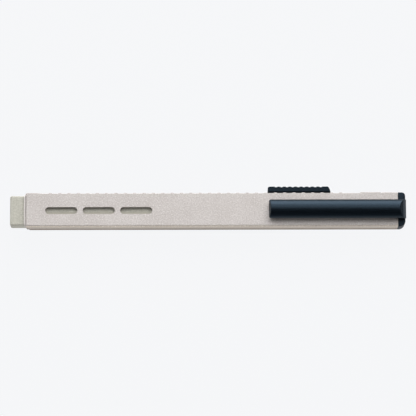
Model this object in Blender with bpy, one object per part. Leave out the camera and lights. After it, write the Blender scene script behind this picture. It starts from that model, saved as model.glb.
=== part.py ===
"""Retractable pen eraser: a flat barrel, a stick eraser on a sliding carriage, a thumb slider and a clip.

Frame: X runs along the barrel with the eraser tip at -X, +Y is the slider's side, +Z is the clip's
side. The origin is the middle of the flat back face, on which the eraser lies. Metres.
Lengths in the functions are millimetres, and stations along the barrel count from the mouth.
"""

import math

import bmesh
import bpy

MM = 0.001

# Driving dimensions, millimetres.
MOUTH_X = -58.925        # where the mouth of the nose lies along X
BARREL_DEPTH = 8.0       # back face to front face, along Z
SEAM_Z = 7.3             # where the front cover meets the back shell
LOWER_Y = -5.4           # lower side of the barrel, at the back
SIDE_DRAFT = 0.1         # how much further out that side is at the front
UPPER_Y = 5.57           # upper side of the barrel, which the track's ridges reach too
TRACK_Y = 5.37           # floor of the track, between its ridges
PAD_Y = 5.66             # low pad behind the track
BARREL_START = 0.48
CHAMFER_END = 1.0        # rear of the chamfer round the barrel's front end
CHAMFER_SIDE = 0.2       # how far it draws in the sides
CHAMFER_FACE = 0.6       # how far it draws in the front and the back
BARREL_END = 119.75
TRACK_START = 3.7
TRACK_LEVEL = 6.2        # where the slope down to the track's floor ends
PAD_START = 107.7
PAD_END = 114.2
BACK_ROUND = 1.6         # radius of the long back edges
FRONT_ROUND = 0.22       # radius of the long front edges
BORE_Y = 4.9             # half width of the bore
BORE_Z = (0.95, 7.27)
MOUTH_RAKE = 0.9         # how far the back of the mouth lies behind its front
SEAM_GAP = 0.06
LIP_Y = -5.15            # inner side of the back shell's thin lip, which the cover's lower edge meets
LIP_TOP_Z = 7.92

SLOT_Z = (2.5, 5.5)
SLOT_START = 7.3
SLOT_END = 105.2
RIDGE_PITCH = 3.0
RIDGE_FIRST = 8.5
RIDGE_COUNT = 32
RIDGE_WIDTH = 1.15
RIDGE_FLANK = 0.12       # run of each ridge's sloping flanks

WINDOW_COUNT = 3
WINDOW_START = 6.85
WINDOW_LENGTH = 10.3
WINDOW_PITCH = 12.0
WINDOW_HEIGHT = 2.25
WINDOW_Y = -0.18

FLANGE_END = 0.42        # rear of the collar's flange
FLANGE_Y = (-5.12, 5.1)
FLANGE_Z = (0.28, 7.72)
FLANGE_ROUND = 0.9
TONGUE_END = 5.4
TONGUE_HALF_Y = 3.8

ERASER_TIP = -4.45
ERASER_REAR = 84.0
ERASER_HALF_Y = 4.78
ERASER_Z = (1.35, 6.95)

JAW_START = 76.0
JAW_END = 88.2
JAW_THICK = 0.2
JAW_HALF_Y = 3.4
JAW_GAP = 0.05

BLOCK_START = 84.4
BLOCK_END = 99.0
BLOCK_HALF_Y = 4.7
BLOCK_Z = (1.09, 7.13)
NECK = (84.6, 94.6)
NECK_TOP_Y = 6.55

SLIDER = (78.15, 98.3)
SLIDER_BASE_Y = 5.66
SLIDER_TOP_Y = 7.75
SLIDER_Z = (1.3, 6.7)
UNDERCUT = 0.4           # how far the slider's foot is set in from its sides
UNDERCUT_TOP_Y = 6.2
RIB_COUNT = 10
RIB_PITCH = 1.8

LEAF_START = 79.5
LEAF_Y = (5.72, 5.94)    # lower and upper face of the click spring's flat stretch
LEAF_Z = (2.1, 5.9)
TOOTH_Y = 5.46           # lowest point of its tooth
TOOTH_RIDGE = 24         # which ridge the tooth rests behind

CAP_START = 119.81
CAP_END = 122.15
SPIGOT_START = 112.0

CLIP_TIP = 78.45
CLIP_END = 122.3
CLIP_HALF_Y = 3.03
CLIP_UNDER_Z = 9.0
CLIP_TOP_Z = 10.8
CLIP_SIDE_Z = 9.4
CLIP_ROOT_Z = 8.2
CLIP_Y = 0.0
ROOT_START = 117.4       # where the clip's underside starts down to the cap
HIP_START = 120.3        # where its roof starts down to the rear edge
BUMP_STATION = 82.2
PIVOT_STATION = 120.7
PIVOT_Z = 7.3
PIVOT_RADIUS = 0.6

# Colour, roughness and metallic value of each material.
MATERIALS = {
    "barrel_plastic": ((0.60, 0.56, 0.54), 0.45, 0.0),
    "collar_plastic": ((0.66, 0.63, 0.61), 0.40, 0.0),
    "eraser_vinyl": ((0.53, 0.52, 0.45), 0.85, 0.0),
    "navy_plastic": ((0.012, 0.018, 0.025), 0.30, 0.0),
    "slider_plastic": ((0.015, 0.020, 0.026), 0.45, 0.0),
    "carriage_plastic": ((0.70, 0.70, 0.68), 0.50, 0.0),
    "spring_steel": ((0.60, 0.60, 0.60), 0.30, 1.0),
}

ROUND_STEPS = 4          # flats on each rounded corner


def clear_scene():
    for obj in list(bpy.data.objects):
        bpy.data.objects.remove(obj)


def material(name):
    mat = bpy.data.materials.get(name)
    if mat:
        return mat
    colour, roughness, metallic = MATERIALS[name]
    mat = bpy.data.materials.new(name)
    mat.use_nodes = True
    shader = mat.node_tree.nodes["Principled BSDF"]
    shader.inputs["Base Color"].default_value = (*colour, 1.0)
    shader.inputs["Roughness"].default_value = roughness
    shader.inputs["Metallic"].default_value = metallic
    mat.diffuse_color = (*colour, 1.0)
    return mat


def make_object(name, bm, mat_name=None, origin=(0.0, 0.0, 0.0)):
    """Turn a bmesh in world millimetres into an object whose origin is given in the same millimetres."""
    bmesh.ops.recalc_face_normals(bm, faces=bm.faces[:])
    for vert in bm.verts:
        vert.co = [(c - o) * MM for c, o in zip(vert.co, origin)]
    mesh = bpy.data.meshes.new(name)
    bm.to_mesh(mesh)
    bm.free()
    obj = bpy.data.objects.new(name, mesh)
    obj.location = [o * MM for o in origin]
    bpy.context.collection.objects.link(obj)
    if mat_name:
        mesh.materials.append(material(mat_name))
    return obj


def at(station):
    """World X of a station counted from the mouth."""
    return MOUTH_X + station


def rounded_rect(u0, u1, v0, v1, radii):
    """Outline of a rectangle whose corners, from (u0, v0) round to (u0, v1), have the given radii."""
    corners = ((u0, v0, 180), (u1, v0, 270), (u1, v1, 0), (u0, v1, 90))
    points = []
    for (u, v, start), radius in zip(corners, radii):
        centre_u = u + (radius if u == u0 else -radius)
        centre_v = v + (radius if v == v0 else -radius)
        for step in range(ROUND_STEPS + 1):
            angle = math.radians(start + 90 * step / ROUND_STEPS)
            points.append((centre_u + radius * math.cos(angle), centre_v + radius * math.sin(angle)))
    return points


def stadium(u0, u1, v_mid, height, steps=8):
    """Outline of a slot with round ends."""
    radius = height / 2
    points = []
    for centre, start in ((u1 - radius, -90), (u0 + radius, 90)):
        for step in range(steps + 1):
            angle = math.radians(start + 180 * step / steps)
            points.append((centre + radius * math.cos(angle), v_mid + radius * math.sin(angle)))
    return points


def loft(sections):
    """A closed bmesh through rings of points, all with the same number of points."""
    bm = bmesh.new()
    rings = [[bm.verts.new(point) for point in ring] for ring in sections]
    for near, far in zip(rings, rings[1:]):
        for i in range(len(near)):
            j = (i + 1) % len(near)
            bm.faces.new((near[i], near[j], far[j], far[i]))
    bm.faces.new(rings[0][::-1])
    bm.faces.new(rings[-1])
    return bm


def prism_x(outline, x0, x1):
    return loft([[(x, u, v) for u, v in outline] for x in (x0, x1)])


def prism_y(outline, y0, y1):
    return loft([[(u, y, v) for u, v in outline] for y in (y0, y1)])


def prism_z(outline, z0, z1):
    return loft([[(u, v, z) for u, v in outline] for z in (z0, z1)])


def block(x0, x1, y0, y1, z0, z1):
    return prism_z([(x0, y0), (x1, y0), (x1, y1), (x0, y1)], z0, z1)


def rake(z):
    """How far the mouth has moved back at this height."""
    return MOUTH_RAKE * (BARREL_DEPTH - z) / BARREL_DEPTH


def boolean(obj, bm, operation, name):
    """Cut obj with a shape, or join the shape to it; the shape stays as a hidden wire helper."""
    tool = make_object(name, bm)
    tool.hide_render = True
    tool.display_type = "WIRE"
    modifier = obj.modifiers.new(name, "BOOLEAN")
    modifier.operation = operation
    modifier.solver = "EXACT"
    modifier.object = tool
    return tool


def share_tool(obj, tool, operation):
    modifier = obj.modifiers.new(tool.name, "BOOLEAN")
    modifier.operation = operation
    modifier.solver = "EXACT"
    modifier.object = tool


def soften(obj, width, segments=2):
    modifier = obj.modifiers.new("soft_edges", "BEVEL")
    modifier.width = width * MM
    modifier.segments = segments
    modifier.limit_method = "ANGLE"
    modifier.angle_limit = math.radians(40)


def upper_profile():
    """Stations and heights of the barrel's upper side behind its front end, before the track is cut."""
    step = 0.15
    groove = 0.45
    return [
        (TRACK_START, UPPER_Y),
        (PAD_START, UPPER_Y),
        (PAD_START + step, PAD_Y),
        (PAD_END, PAD_Y),
        (PAD_END + step, TRACK_Y),
        (PAD_END + groove - step, TRACK_Y),
        (PAD_END + groove, UPPER_Y),
        (BARREL_END, UPPER_Y),
    ]


def back_section(top_y, side_in=0.0, face_in=0.0):
    """The back shell's channel, open towards +Z, with the lip on its lower side, as a (y, z) outline."""
    rim = SEAM_Z - SEAM_GAP / 2
    low, high, lip_top = LOWER_Y + side_in, top_y - side_in, LIP_TOP_Z - face_in
    outer = rounded_rect(low, high, face_in, rim, (BACK_ROUND, BACK_ROUND, 0.0, 0.0))
    back_corners = outer[: 2 * (ROUND_STEPS + 1)]
    inside = [(high, rim), (BORE_Y, rim), (BORE_Y, BORE_Z[0]), (-BORE_Y, BORE_Z[0]), (-BORE_Y, rim)]
    chamfer = 0.1
    edge = low - SIDE_DRAFT
    lip = [(LIP_Y, rim), (LIP_Y, lip_top), (edge + chamfer, lip_top), (edge, lip_top - chamfer)]
    return back_corners + inside + lip


def cover_section(top_y, side_in=0.0, face_in=0.0):
    """The front cover's plate as a (y, z) outline."""
    low = SEAM_Z + SEAM_GAP / 2
    edge = 0.02 if face_in else 0.05
    radii = (edge, edge, edge if face_in else FRONT_ROUND, edge)
    return rounded_rect(LIP_Y + SEAM_GAP, top_y - side_in, low, BARREL_DEPTH - face_in, radii)


def barrel_loft(section):
    """Loft a section along the barrel, from the chamfered, raked front end to the rear."""
    rings = []
    for station, side_in, face_in in (
        (BARREL_START, CHAMFER_SIDE, CHAMFER_FACE),
        (CHAMFER_END, 0.0, 0.0),
    ):
        outline = section(UPPER_Y, side_in, face_in)
        rings.append([(at(station) + rake(z), y, z) for y, z in outline])
    for station, top_y in upper_profile():
        rings.append([(at(station), y, z) for y, z in section(top_y)])
    return loft(rings)


def valley(first, last, lead_in):
    """Side view of one cut in the track, from the foot of one ridge to the next."""
    above = PAD_Y + 1.0
    return [
        (at(first + lead_in), TRACK_Y),
        (at(last - RIDGE_FLANK), TRACK_Y),
        (at(last), UPPER_Y),
        (at(last), above),
        (at(first), above),
        (at(first), UPPER_Y),
    ]


def track_cutter():
    """Everything cut away between the ridges of the track, right across both rims."""
    half = RIDGE_WIDTH / 2
    outlines = [valley(TRACK_START, RIDGE_FIRST - half, TRACK_LEVEL - TRACK_START)]
    for index in range(RIDGE_COUNT):
        first = RIDGE_FIRST + RIDGE_PITCH * index + half
        last = first + RIDGE_PITCH - RIDGE_WIDTH
        if index == RIDGE_COUNT - 1:
            last = PAD_START
        outlines.append(valley(first, last, RIDGE_FLANK))
    bm = bmesh.new()
    for outline in outlines:
        piece = prism_z(outline, -1.0, BARREL_DEPTH + 1.0)
        mesh = bpy.data.meshes.new("valley")
        piece.to_mesh(mesh)
        piece.free()
        bm.from_mesh(mesh)
        bpy.data.meshes.remove(mesh)
    return bm


def build_barrel():
    back = make_object("back_shell", barrel_loft(back_section), "barrel_plastic")
    slot_mid = sum(SLOT_Z) / 2
    slot = stadium(at(SLOT_START), at(SLOT_END), slot_mid, SLOT_Z[1] - SLOT_Z[0])
    boolean(back, prism_y(slot, BORE_Y - 1.0, PAD_Y + 1.0), "DIFFERENCE", "slot_cutter")
    valleys = boolean(back, track_cutter(), "DIFFERENCE", "track_cutter")

    cover = make_object("front_cover", barrel_loft(cover_section), "barrel_plastic")
    share_tool(cover, valleys, "DIFFERENCE")
    for index in range(WINDOW_COUNT):
        start = WINDOW_START + WINDOW_PITCH * index
        window = stadium(at(start), at(start + WINDOW_LENGTH), WINDOW_Y, WINDOW_HEIGHT)
        cutter = prism_z(window, SEAM_Z - 1.0, BARREL_DEPTH + 1.0)
        boolean(cover, cutter, "DIFFERENCE", f"window_cutter_{index + 1}")


def build_collar():
    """A flange round the mouth, with two thin tongues that reach into the bore."""
    gap = 0.05
    outline = rounded_rect(*FLANGE_Y, *FLANGE_Z, (FLANGE_ROUND,) * 4)
    flange = loft([[(at(s) + rake(z), y, z) for y, z in outline] for s in (0.0, FLANGE_END)])
    collar = make_object("nose_collar", flange, "collar_plastic")
    for name, low, high in (
        ("front", ERASER_Z[1] + gap, BORE_Z[1] - gap),
        ("back", BORE_Z[0] + gap, ERASER_Z[0] - gap),
    ):
        tongue = block(at(0.1 + rake(low)), at(TONGUE_END), -TONGUE_HALF_Y, TONGUE_HALF_Y, low, high)
        boolean(collar, tongue, "UNION", f"collar_tongue_{name}")
    hole = rounded_rect(
        -ERASER_HALF_Y - gap, ERASER_HALF_Y + gap, ERASER_Z[0] - gap, ERASER_Z[1] + gap, (0.3,) * 4
    )
    boolean(collar, prism_x(hole, at(-1.0), at(BARREL_START + 3.0)), "DIFFERENCE", "mouth_cutter")


def build_eraser():
    stick = block(
        at(ERASER_TIP), at(ERASER_REAR), -ERASER_HALF_Y, ERASER_HALF_Y, ERASER_Z[0], ERASER_Z[1]
    )
    eraser = make_object("eraser_stick", stick, "eraser_vinyl")
    soften(eraser, 0.35, 3)


def build_jaws():
    """Two pressed steel jaws on the carriage that pinch the rear of the stick."""
    lip = 0.5
    for name, inner, sign in (
        ("grip_jaw_front", ERASER_Z[1] + JAW_GAP, 1),
        ("grip_jaw_back", ERASER_Z[0] - JAW_GAP, -1),
    ):
        outer = inner + sign * JAW_THICK
        flare = sign * 0.04
        side = [
            (at(JAW_START), inner + flare),
            (at(JAW_START + lip), inner),
            (at(JAW_END), inner),
            (at(JAW_END), outer),
            (at(JAW_START + lip), outer),
            (at(JAW_START), outer + flare),
        ]
        make_object(name, prism_y(side, -JAW_HALF_Y, JAW_HALF_Y), "spring_steel")


def build_carriage():
    """The block behind the stick, stepped for the jaws, with the neck that passes the slot."""
    body = block(
        at(BLOCK_START), at(BLOCK_END), -BLOCK_HALF_Y, BLOCK_HALF_Y, BLOCK_Z[0], BLOCK_Z[1]
    )
    carriage = make_object("eraser_carriage", body, "carriage_plastic")
    step_end = at(JAW_END + 0.1)
    for name, low, high in (
        ("front", ERASER_Z[1], BLOCK_Z[1] + 1.0),
        ("back", BLOCK_Z[0] - 1.0, ERASER_Z[0]),
    ):
        seat = block(at(BLOCK_START - 1.0), step_end, -BORE_Y, BORE_Y, low, high)
        boolean(carriage, seat, "DIFFERENCE", f"jaw_seat_{name}")
    room = 0.12
    neck = block(
        at(NECK[0]), at(NECK[1]), BLOCK_HALF_Y - 1.0, NECK_TOP_Y, SLOT_Z[0] + room, SLOT_Z[1] - room
    )
    boolean(carriage, neck, "UNION", "carriage_neck")
    hollow = block(
        at(JAW_END + 1.5), at(BLOCK_END + 1.0), -BLOCK_HALF_Y + 1.0, BLOCK_HALF_Y - 1.6, 2.3, 5.7
    )
    boolean(carriage, hollow, "DIFFERENCE", "carriage_hollow")


def slider_outline():
    """Side view of the slider: round nose, scalloped top, steep tail."""
    front, rear = at(SLIDER[0]), at(SLIDER[1])
    nose = 0.8
    tail = 0.75
    rib_depth = 0.34
    steps = 4
    valley_y = SLIDER_TOP_Y - rib_depth
    points = [(front, SLIDER_BASE_Y), (front, valley_y - nose)]
    for step in range(1, 4):
        angle = math.radians(90 * step / 4)
        points.append((front + nose * (1 - math.cos(angle)), valley_y - nose * (1 - math.sin(angle))))
    first_valley = front + nose + RIB_PITCH
    points += [(front + nose, SLIDER_TOP_Y - 0.18), (first_valley - 0.5, SLIDER_TOP_Y)]
    points.append((first_valley, valley_y))
    for rib in range(1, RIB_COUNT):
        for step in range(1, steps + 1):
            share = step / steps
            x = first_valley + RIB_PITCH * (rib - 1 + share)
            if x > rear - tail:
                break
            points.append((x, valley_y + rib_depth * math.sin(math.pi * share)))
    points.append((rear - tail, SLIDER_TOP_Y - 0.12))
    points.append((rear - 0.12, SLIDER_BASE_Y + 0.75))
    points.append((rear, SLIDER_BASE_Y + 0.4))
    points.append((rear, SLIDER_BASE_Y))
    return points


def build_slider():
    slider = make_object(
        "thumb_slider", prism_z(slider_outline(), SLIDER_Z[0], SLIDER_Z[1]), "slider_plastic"
    )
    room = 0.1
    below = SLIDER_BASE_Y - 0.3
    pocket = block(
        at(NECK[0] - room), at(NECK[1] + room), below, NECK_TOP_Y + room, SLOT_Z[0], SLOT_Z[1]
    )
    boolean(slider, pocket, "DIFFERENCE", "neck_pocket")
    room = 0.15
    leaf_room = block(
        at(LEAF_START - 2 * room), at(NECK[0]),
        below, LEAF_Y[1] + 2 * room,
        LEAF_Z[0] - room, LEAF_Z[1] + room,
    )
    boolean(slider, leaf_room, "DIFFERENCE", "leaf_pocket")
    for name, low, high in (
        ("front", SLIDER_Z[1] - UNDERCUT, SLIDER_Z[1] + 1.0),
        ("back", SLIDER_Z[0] - 1.0, SLIDER_Z[0] + UNDERCUT),
    ):
        strip = block(at(SLIDER[0] - 1.0), at(SLIDER[1] + 1.0), below, UNDERCUT_TOP_Y, low, high)
        boolean(slider, strip, "DIFFERENCE", f"undercut_{name}")


def build_click_spring():
    """A leaf under the slider whose bent tooth drops between the ridges on both sides of the slot."""
    tooth = at(RIDGE_FIRST + RIDGE_PITCH * (TOOTH_RIDGE + 0.5))
    low, high = LEAF_Y
    thick = high - low
    rear = at(NECK[0] - 0.25)
    bend = 0.4 * thick
    side = [
        (at(LEAF_START), low),
        (tooth - 0.5, low),
        (tooth - 0.18, TOOTH_Y),
        (tooth + 0.18, TOOTH_Y),
        (tooth + 0.5, low),
        (rear, low),
        (rear, high),
        (tooth + 0.5 - bend, high),
        (tooth + 0.1, TOOTH_Y + thick),
        (tooth - 0.1, TOOTH_Y + thick),
        (tooth - 0.5 + bend, high),
        (at(LEAF_START), high),
    ]
    make_object("click_spring", prism_z(side, *LEAF_Z), "spring_steel")


def cap_section(station):
    """The end cap's outline, drawn in towards its rear face on round corners."""
    upper_round, lower_round, face_round = 1.2, 2.0, 0.7

    def drawn_in(radius):
        past = max(0.0, station - (CAP_END - radius))
        return radius - math.sqrt(max(0.0, radius * radius - past * past))

    z_in = drawn_in(face_round)
    corner = 0.35
    back = max(corner, BACK_ROUND - z_in)
    outline = rounded_rect(
        LOWER_Y + drawn_in(lower_round) * 0.92,
        UPPER_Y - drawn_in(upper_round) * 0.92,
        z_in,
        BARREL_DEPTH - z_in,
        (back, back, corner, corner),
    )
    return [(y - SIDE_DRAFT * z / BARREL_DEPTH if y < 0.0 else y, z) for y, z in outline]


def build_end_cap():
    stations = [CAP_START] + [CAP_END - inward for inward in (2.0, 1.5, 1.1, 0.75, 0.45, 0.2, 0.02)]
    rings = [[(at(s), y, z) for y, z in cap_section(s)] for s in stations]
    cap = make_object("end_cap", loft(rings), "navy_plastic")
    room = 0.1
    spigot = rounded_rect(-BORE_Y + room, BORE_Y - room, BORE_Z[0] + room, BORE_Z[1] - room, (0.3,) * 4)
    boolean(cap, prism_x(spigot, at(SPIGOT_START), at(CAP_START + 0.8)), "UNION", "cap_spigot")
    wall = 0.9
    hollow = block(
        at(SPIGOT_START - 1.0),
        at(CAP_START - 0.6),
        -BORE_Y + room + wall,
        BORE_Y - room - wall,
        BORE_Z[0] + room + wall,
        BORE_Z[1] - room - wall,
    )
    boolean(cap, hollow, "DIFFERENCE", "spigot_hollow")
    clearance = 0.12
    boolean(cap, pivot_bar(PIVOT_RADIUS + clearance, 0.5, 2.2), "DIFFERENCE", "clip_socket")


def pivot_bar(radius, half_neck, half_length):
    """A round bar along Y with a flat-sided neck above it: the clip's foot, or the room for it."""
    steps = 12
    start = math.asin(half_neck / radius)
    top = CLIP_ROOT_Z + 0.4
    x = at(PIVOT_STATION)
    outline = [(x - half_neck, top)]
    for step in range(steps + 1):
        angle = start + (2 * math.pi - 2 * start) * step / steps
        outline.append((x - radius * math.sin(angle), PIVOT_Z + radius * math.cos(angle)))
    outline.append((x + half_neck, top))
    return prism_y(outline, CLIP_Y - half_length, CLIP_Y + half_length)


def clip_section(station):
    """The clip's D-shaped section: flat beneath, round above, hipped at the root end."""
    arc_steps = 10
    tip_run = station - CLIP_TIP
    tip_round = 0.6
    narrow = 0.0
    if tip_run < tip_round:
        narrow = tip_round - math.sqrt(tip_round**2 - (tip_round - tip_run) ** 2)
    half = CLIP_HALF_Y - narrow
    tip_slope = CLIP_UNDER_Z + 0.45 + 2.1 * tip_run
    hip = CLIP_TOP_Z - 1.05 * (station - HIP_START)
    roof = min(CLIP_TOP_Z, tip_slope, hip)
    root_blend = min(1.0, max(0.0, station - ROOT_START))
    under = CLIP_UNDER_Z - (CLIP_UNDER_Z - CLIP_ROOT_Z) * root_blend
    shoulder = min(CLIP_SIDE_Z, roof - 0.05)
    points = [(-half, under), (half, under)]
    for step in range(arc_steps + 1):
        angle = math.pi * step / arc_steps
        height = CLIP_SIDE_Z + (CLIP_TOP_Z - CLIP_SIDE_Z) * math.sin(angle)
        points.append((half * math.cos(angle), max(shoulder, min(height, roof))))
    return [(CLIP_Y + y, z) for y, z in points]


def build_clip():
    stations = [CLIP_TIP + run for run in (0.0, 0.05, 0.15, 0.35, 0.6, 0.7)]
    stations += [100.0, ROOT_START, ROOT_START + 1.0, HIP_START, 120.6, 120.9, 121.2, 121.6, 121.9, CLIP_END]
    rings = [[(at(s), y, z) for y, z in clip_section(s)] for s in stations]
    pivot = (at(PIVOT_STATION), 0.0, PIVOT_Z)
    clip = make_object("pocket_clip", loft(rings), "navy_plastic", origin=pivot)
    boolean(clip, pivot_bar(PIVOT_RADIUS, 0.36, 2.05), "UNION", "clip_foot")
    bump_x = at(BUMP_STATION)
    bump = [(bump_x - 1.6, CLIP_UNDER_Z + 0.3), (bump_x + 1.6, CLIP_UNDER_Z + 0.3)]
    bump += [(bump_x + 0.6, 8.25), (bump_x + 0.2, 8.12), (bump_x - 0.2, 8.12), (bump_x - 0.6, 8.25)]
    boolean(clip, prism_y(bump, CLIP_Y - 1.6, CLIP_Y + 1.6), "UNION", "clip_bump")


def main():
    clear_scene()
    build_barrel()
    build_collar()
    build_eraser()
    build_jaws()
    build_carriage()
    build_slider()
    build_click_spring()
    build_end_cap()
    build_clip()
    for obj in bpy.data.objects:
        if obj.type == "MESH" and not obj.hide_render:
            obj.data.shade_smooth()
            obj.data.set_sharp_from_angle(angle=math.radians(30))


main()
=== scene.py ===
"""Looks of the retractable pen eraser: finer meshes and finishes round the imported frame.

The shapes are worked out in millimetres, in the frame's own axes, and stations along the barrel
count from its mouth, as they do in the model the frame was built from.
"""

import math

import bmesh
import bpy
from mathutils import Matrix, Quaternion, Vector, noise


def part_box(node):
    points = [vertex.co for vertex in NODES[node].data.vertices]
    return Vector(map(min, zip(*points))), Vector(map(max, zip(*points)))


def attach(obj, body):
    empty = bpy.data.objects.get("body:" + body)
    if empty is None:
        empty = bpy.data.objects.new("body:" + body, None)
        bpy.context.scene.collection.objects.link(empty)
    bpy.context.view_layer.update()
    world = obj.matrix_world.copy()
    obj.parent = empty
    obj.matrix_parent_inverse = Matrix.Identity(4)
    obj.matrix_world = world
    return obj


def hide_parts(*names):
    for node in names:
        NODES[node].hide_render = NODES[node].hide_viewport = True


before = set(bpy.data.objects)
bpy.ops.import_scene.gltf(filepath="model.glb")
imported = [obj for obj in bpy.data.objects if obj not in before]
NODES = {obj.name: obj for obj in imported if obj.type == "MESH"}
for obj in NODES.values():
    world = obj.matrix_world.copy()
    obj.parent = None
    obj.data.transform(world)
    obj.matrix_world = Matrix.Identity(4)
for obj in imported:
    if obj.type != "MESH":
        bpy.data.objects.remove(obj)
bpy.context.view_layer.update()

MM = 0.001


def corners(node):
    """Lowest and highest corner of a CAD node in millimetres."""
    return [Vector(corner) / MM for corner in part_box(node)]


STICK_LOW, STICK_HIGH = corners("eraser_stick")
SHELL_LOW, SHELL_HIGH = corners("back_shell")
COVER_LOW, COVER_HIGH = corners("front_cover")
COLLAR_LOW, COLLAR_HIGH = corners("nose_collar")
CAP_LOW, CAP_HIGH = corners("end_cap")
CLIP_LOW, CLIP_HIGH = corners("pocket_clip")
SLIDER_LOW, SLIDER_HIGH = corners("thumb_slider")
CARRIAGE_HIGH = corners("eraser_carriage")[1]
LEAF_LOW, LEAF_HIGH = corners("click_spring")

TIP_REACH = 4.45                      # how far the stick stands out of the mouth
MOUTH_X = STICK_LOW.x + TIP_REACH

# The barrel.
DEPTH = COVER_HIGH.z
SIDE_DRAFT = 0.1                      # how much further out the lower side is at the front
LOWER_Y = SHELL_LOW.y + SIDE_DRAFT
PAD_Y = SHELL_HIGH.y                  # the low pad behind the track
UPPER_Y = CAP_HIGH.y                  # the upper side, which the track's ridges reach too
TRACK_Y = UPPER_Y - 0.2               # the track's floor, between its ridges
SEAM_GAP = 0.06
SEAM_Z = COVER_LOW.z - SEAM_GAP / 2
LIP_Y = COVER_LOW.y - SEAM_GAP
LIP_TOP_Z = SHELL_HIGH.z
BARREL_START = 0.48
BARREL_END = COVER_HIGH.x - MOUTH_X
CHAMFER_END, CHAMFER_SIDE, CHAMFER_FACE = 1.0, 0.2, 0.6   # its end, and its depth on sides and faces
BACK_ROUND = 1.6
FRONT_ROUND = 0.22
BORE_Y = 4.9
BORE_Z = (0.95, 7.27)
MOUTH_RAKE = 0.9                      # how far the mouth's back edge lies behind its front edge
RAKE_END = 3.7                        # where the sections stand square to the barrel again
TRACK_START, TRACK_LEVEL = 3.7, 6.2   # the slope down to the track's floor
PAD_START, PAD_END, GROOVE_END = 107.7, 114.2, 114.65
STEP_LENGTH = 0.15                    # run of the steps up to the pad and down from it

SLOT_START, SLOT_END = 7.3, 105.2
SLOT_Z = (2.5, 5.5)
RIDGE_FIRST, RIDGE_PITCH, RIDGE_COUNT = 8.5, 3.0, 32
RIDGE_HALF, RIDGE_FLANK = 0.575, 0.17   # half a ridge's width, and the run of each of its flanks

WINDOW_START, WINDOW_LENGTH, WINDOW_PITCH, WINDOW_COUNT = 6.85, 10.3, 12.0, 3
WINDOW_HEIGHT, WINDOW_Y = 2.25, -0.18

FLANGE_END, FLANGE_ROUND = 0.42, 0.9
COLLAR_GAP = 0.05                     # from the collar to the stick and to the bore
UNDERCUT, UNDERCUT_TOP_Y = 0.4, 6.2   # the slider's foot, set in from its sides
POCKET_START, POCKET_END = 84.5, 94.7   # the hollow in the slider that takes the carriage's neck
LEAF_ROOM_END = 84.6                  # the recess for the click spring runs back to here

CAP_START = BARREL_END + SEAM_GAP
PIVOT_STATION, PIVOT_Z, PIVOT_TOP = 120.7, 7.3, 8.6       # the clip's foot in the cap
PIVOT_RADIUS, PIVOT_HALF_NECK, PIVOT_HALF_LENGTH = 0.6, 0.36, 2.05
ROOT_START, ROOT_RUN = 117.2, 1.4     # where the clip's underside comes down to its root
HIP_START, HIP_END = 120.3, 121.4
TIP_SLOPE, HIP_SLOPE, END_SLOPE = 2.1, 0.8, 1.41   # the fall of the clip's roof at its tip and its rear
CLIP_UNDER = 9.0                      # level of the clip's underside, clear of the barrel
CLIP_Y = (CLIP_LOW.y + CLIP_HIGH.y) / 2
CLIP_TIP_ROUND = 0.6                  # radius of the tip's two corners, seen from the front

CORNER_STEPS = 8


# ---------------------------------------------------------------- shapes

def at(station):
    """X of a station."""
    return MOUTH_X + station


def rake(z):
    """How far the mouth has moved back at this height."""
    return MOUTH_RAKE * (DEPTH - z) / DEPTH


def rounded_rect(u0, u1, v0, v1, radii, steps=CORNER_STEPS):
    """Outline of a rectangle whose corners, from (u0, v0) round to (u0, v1), have the given radii."""
    turns = ((u0, v0, 180), (u1, v0, 270), (u1, v1, 0), (u0, v1, 90))
    points = []
    for (u, v, start), radius in zip(turns, radii):
        centre_u = u + (radius if u == u0 else -radius)
        centre_v = v + (radius if v == v0 else -radius)
        for step in range(steps + 1):
            angle = math.radians(start + 90 * step / steps)
            points.append((centre_u + radius * math.cos(angle), centre_v + radius * math.sin(angle)))
    return points


def stadium(u0, u1, v_mid, height, steps=14):
    """Outline of a slot with two half-round ends."""
    radius = height / 2
    points = []
    for centre, start in ((u1 - radius, -90), (u0 + radius, 90)):
        for step in range(steps + 1):
            angle = math.radians(start + 180 * step / steps)
            points.append((centre + radius * math.cos(angle), v_mid + radius * math.sin(angle)))
    return points


def skin(rings, closed=False):
    """Quads between rings of points; the ends are filled unless the rings close on themselves."""
    bm = bmesh.new()
    loops = [[bm.verts.new(point) for point in ring] for ring in rings]
    pairs = list(zip(loops, loops[1:]))
    if closed:
        pairs.append((loops[-1], loops[0]))
    else:
        bm.faces.new(loops[0][::-1])
        bm.faces.new(loops[-1])
    for near, far in pairs:
        for i in range(len(near)):
            j = (i + 1) % len(near)
            bm.faces.new((near[i], near[j], far[j], far[i]))
    bmesh.ops.recalc_face_normals(bm, faces=bm.faces[:])
    return bm


def prism(outline, axis, low, high):
    """An outline in the two other axes, in XYZ order, pulled along one axis."""
    rings = []
    for level in (low, high):
        ring = []
        for u, v in outline:
            point = [u, v]
            point.insert("xyz".index(axis), level)
            ring.append(point)
        rings.append(ring)
    return skin(rings)


def block(x0, x1, y0, y1, z0, z1):
    return prism([(x0, y0), (x1, y0), (x1, y1), (x0, y1)], "z", z0, z1)


def to_object(name, bm):
    """A scene object from a bmesh in millimetres."""
    for vert in bm.verts:
        vert.co *= MM
    mesh = bpy.data.meshes.new(name)
    bm.to_mesh(mesh)
    bm.free()
    obj = bpy.data.objects.new(name, mesh)
    bpy.context.scene.collection.objects.link(obj)
    return obj


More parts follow.
